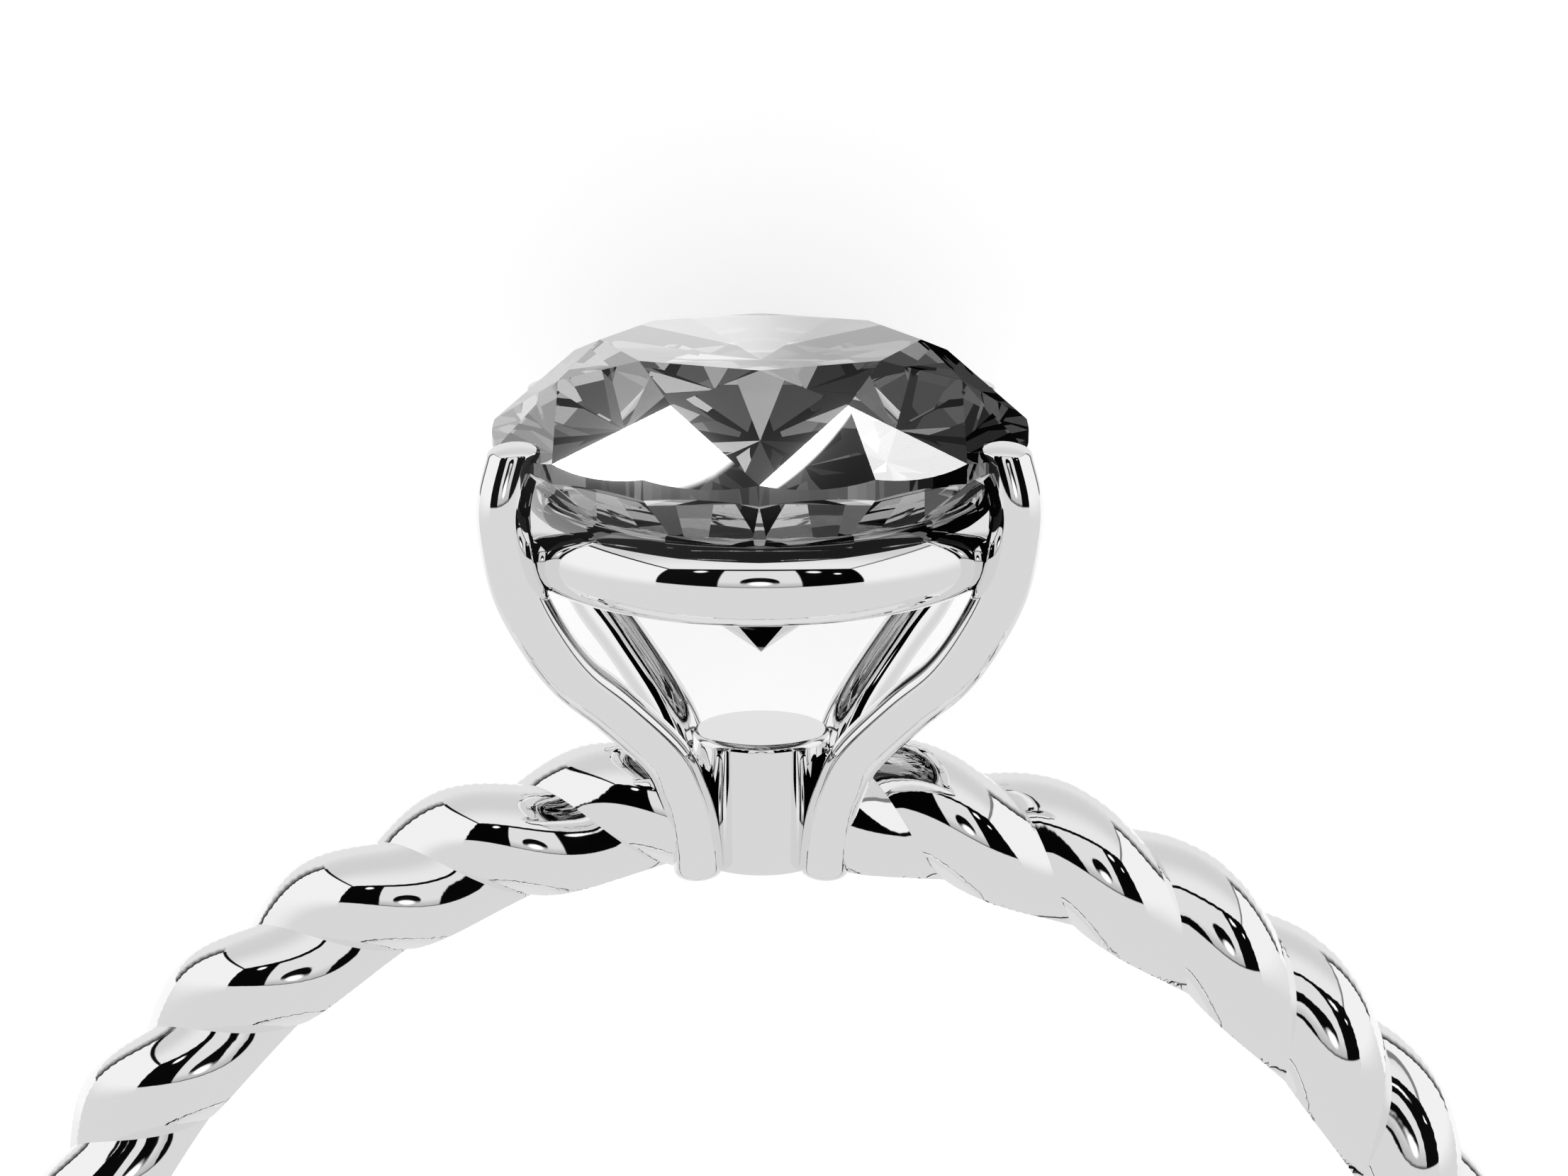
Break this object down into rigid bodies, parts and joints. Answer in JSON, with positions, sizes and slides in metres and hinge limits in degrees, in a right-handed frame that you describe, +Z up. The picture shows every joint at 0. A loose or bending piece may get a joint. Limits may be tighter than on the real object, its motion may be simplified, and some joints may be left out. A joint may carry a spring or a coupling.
{
  "type": "twisted shank ring",
  "caption": "Solitaire finger ring with a two-strand twisted shank, a high four-prong head with an oval gallery ring, and an oval brilliant-cut stone",
  "frame": {"origin": "bottom centre of the ring lying on its side as it rests on a table", "axes": "+Y runs from the shank's far side to the stone, X across the finger hole, +Z up, close to the finger's direction"},
  "size_m": [0.0194, 0.024, 0.008],
  "materials": {
    "white_metal": "mirror-polished white gold",
    "clear_stone": "colourless brilliant-cut stone, polished facets"
  },
  "bodies": {
    "root": {"mounting": "white_metal", "stone": "clear_stone"}
  },
  "joints": []
}
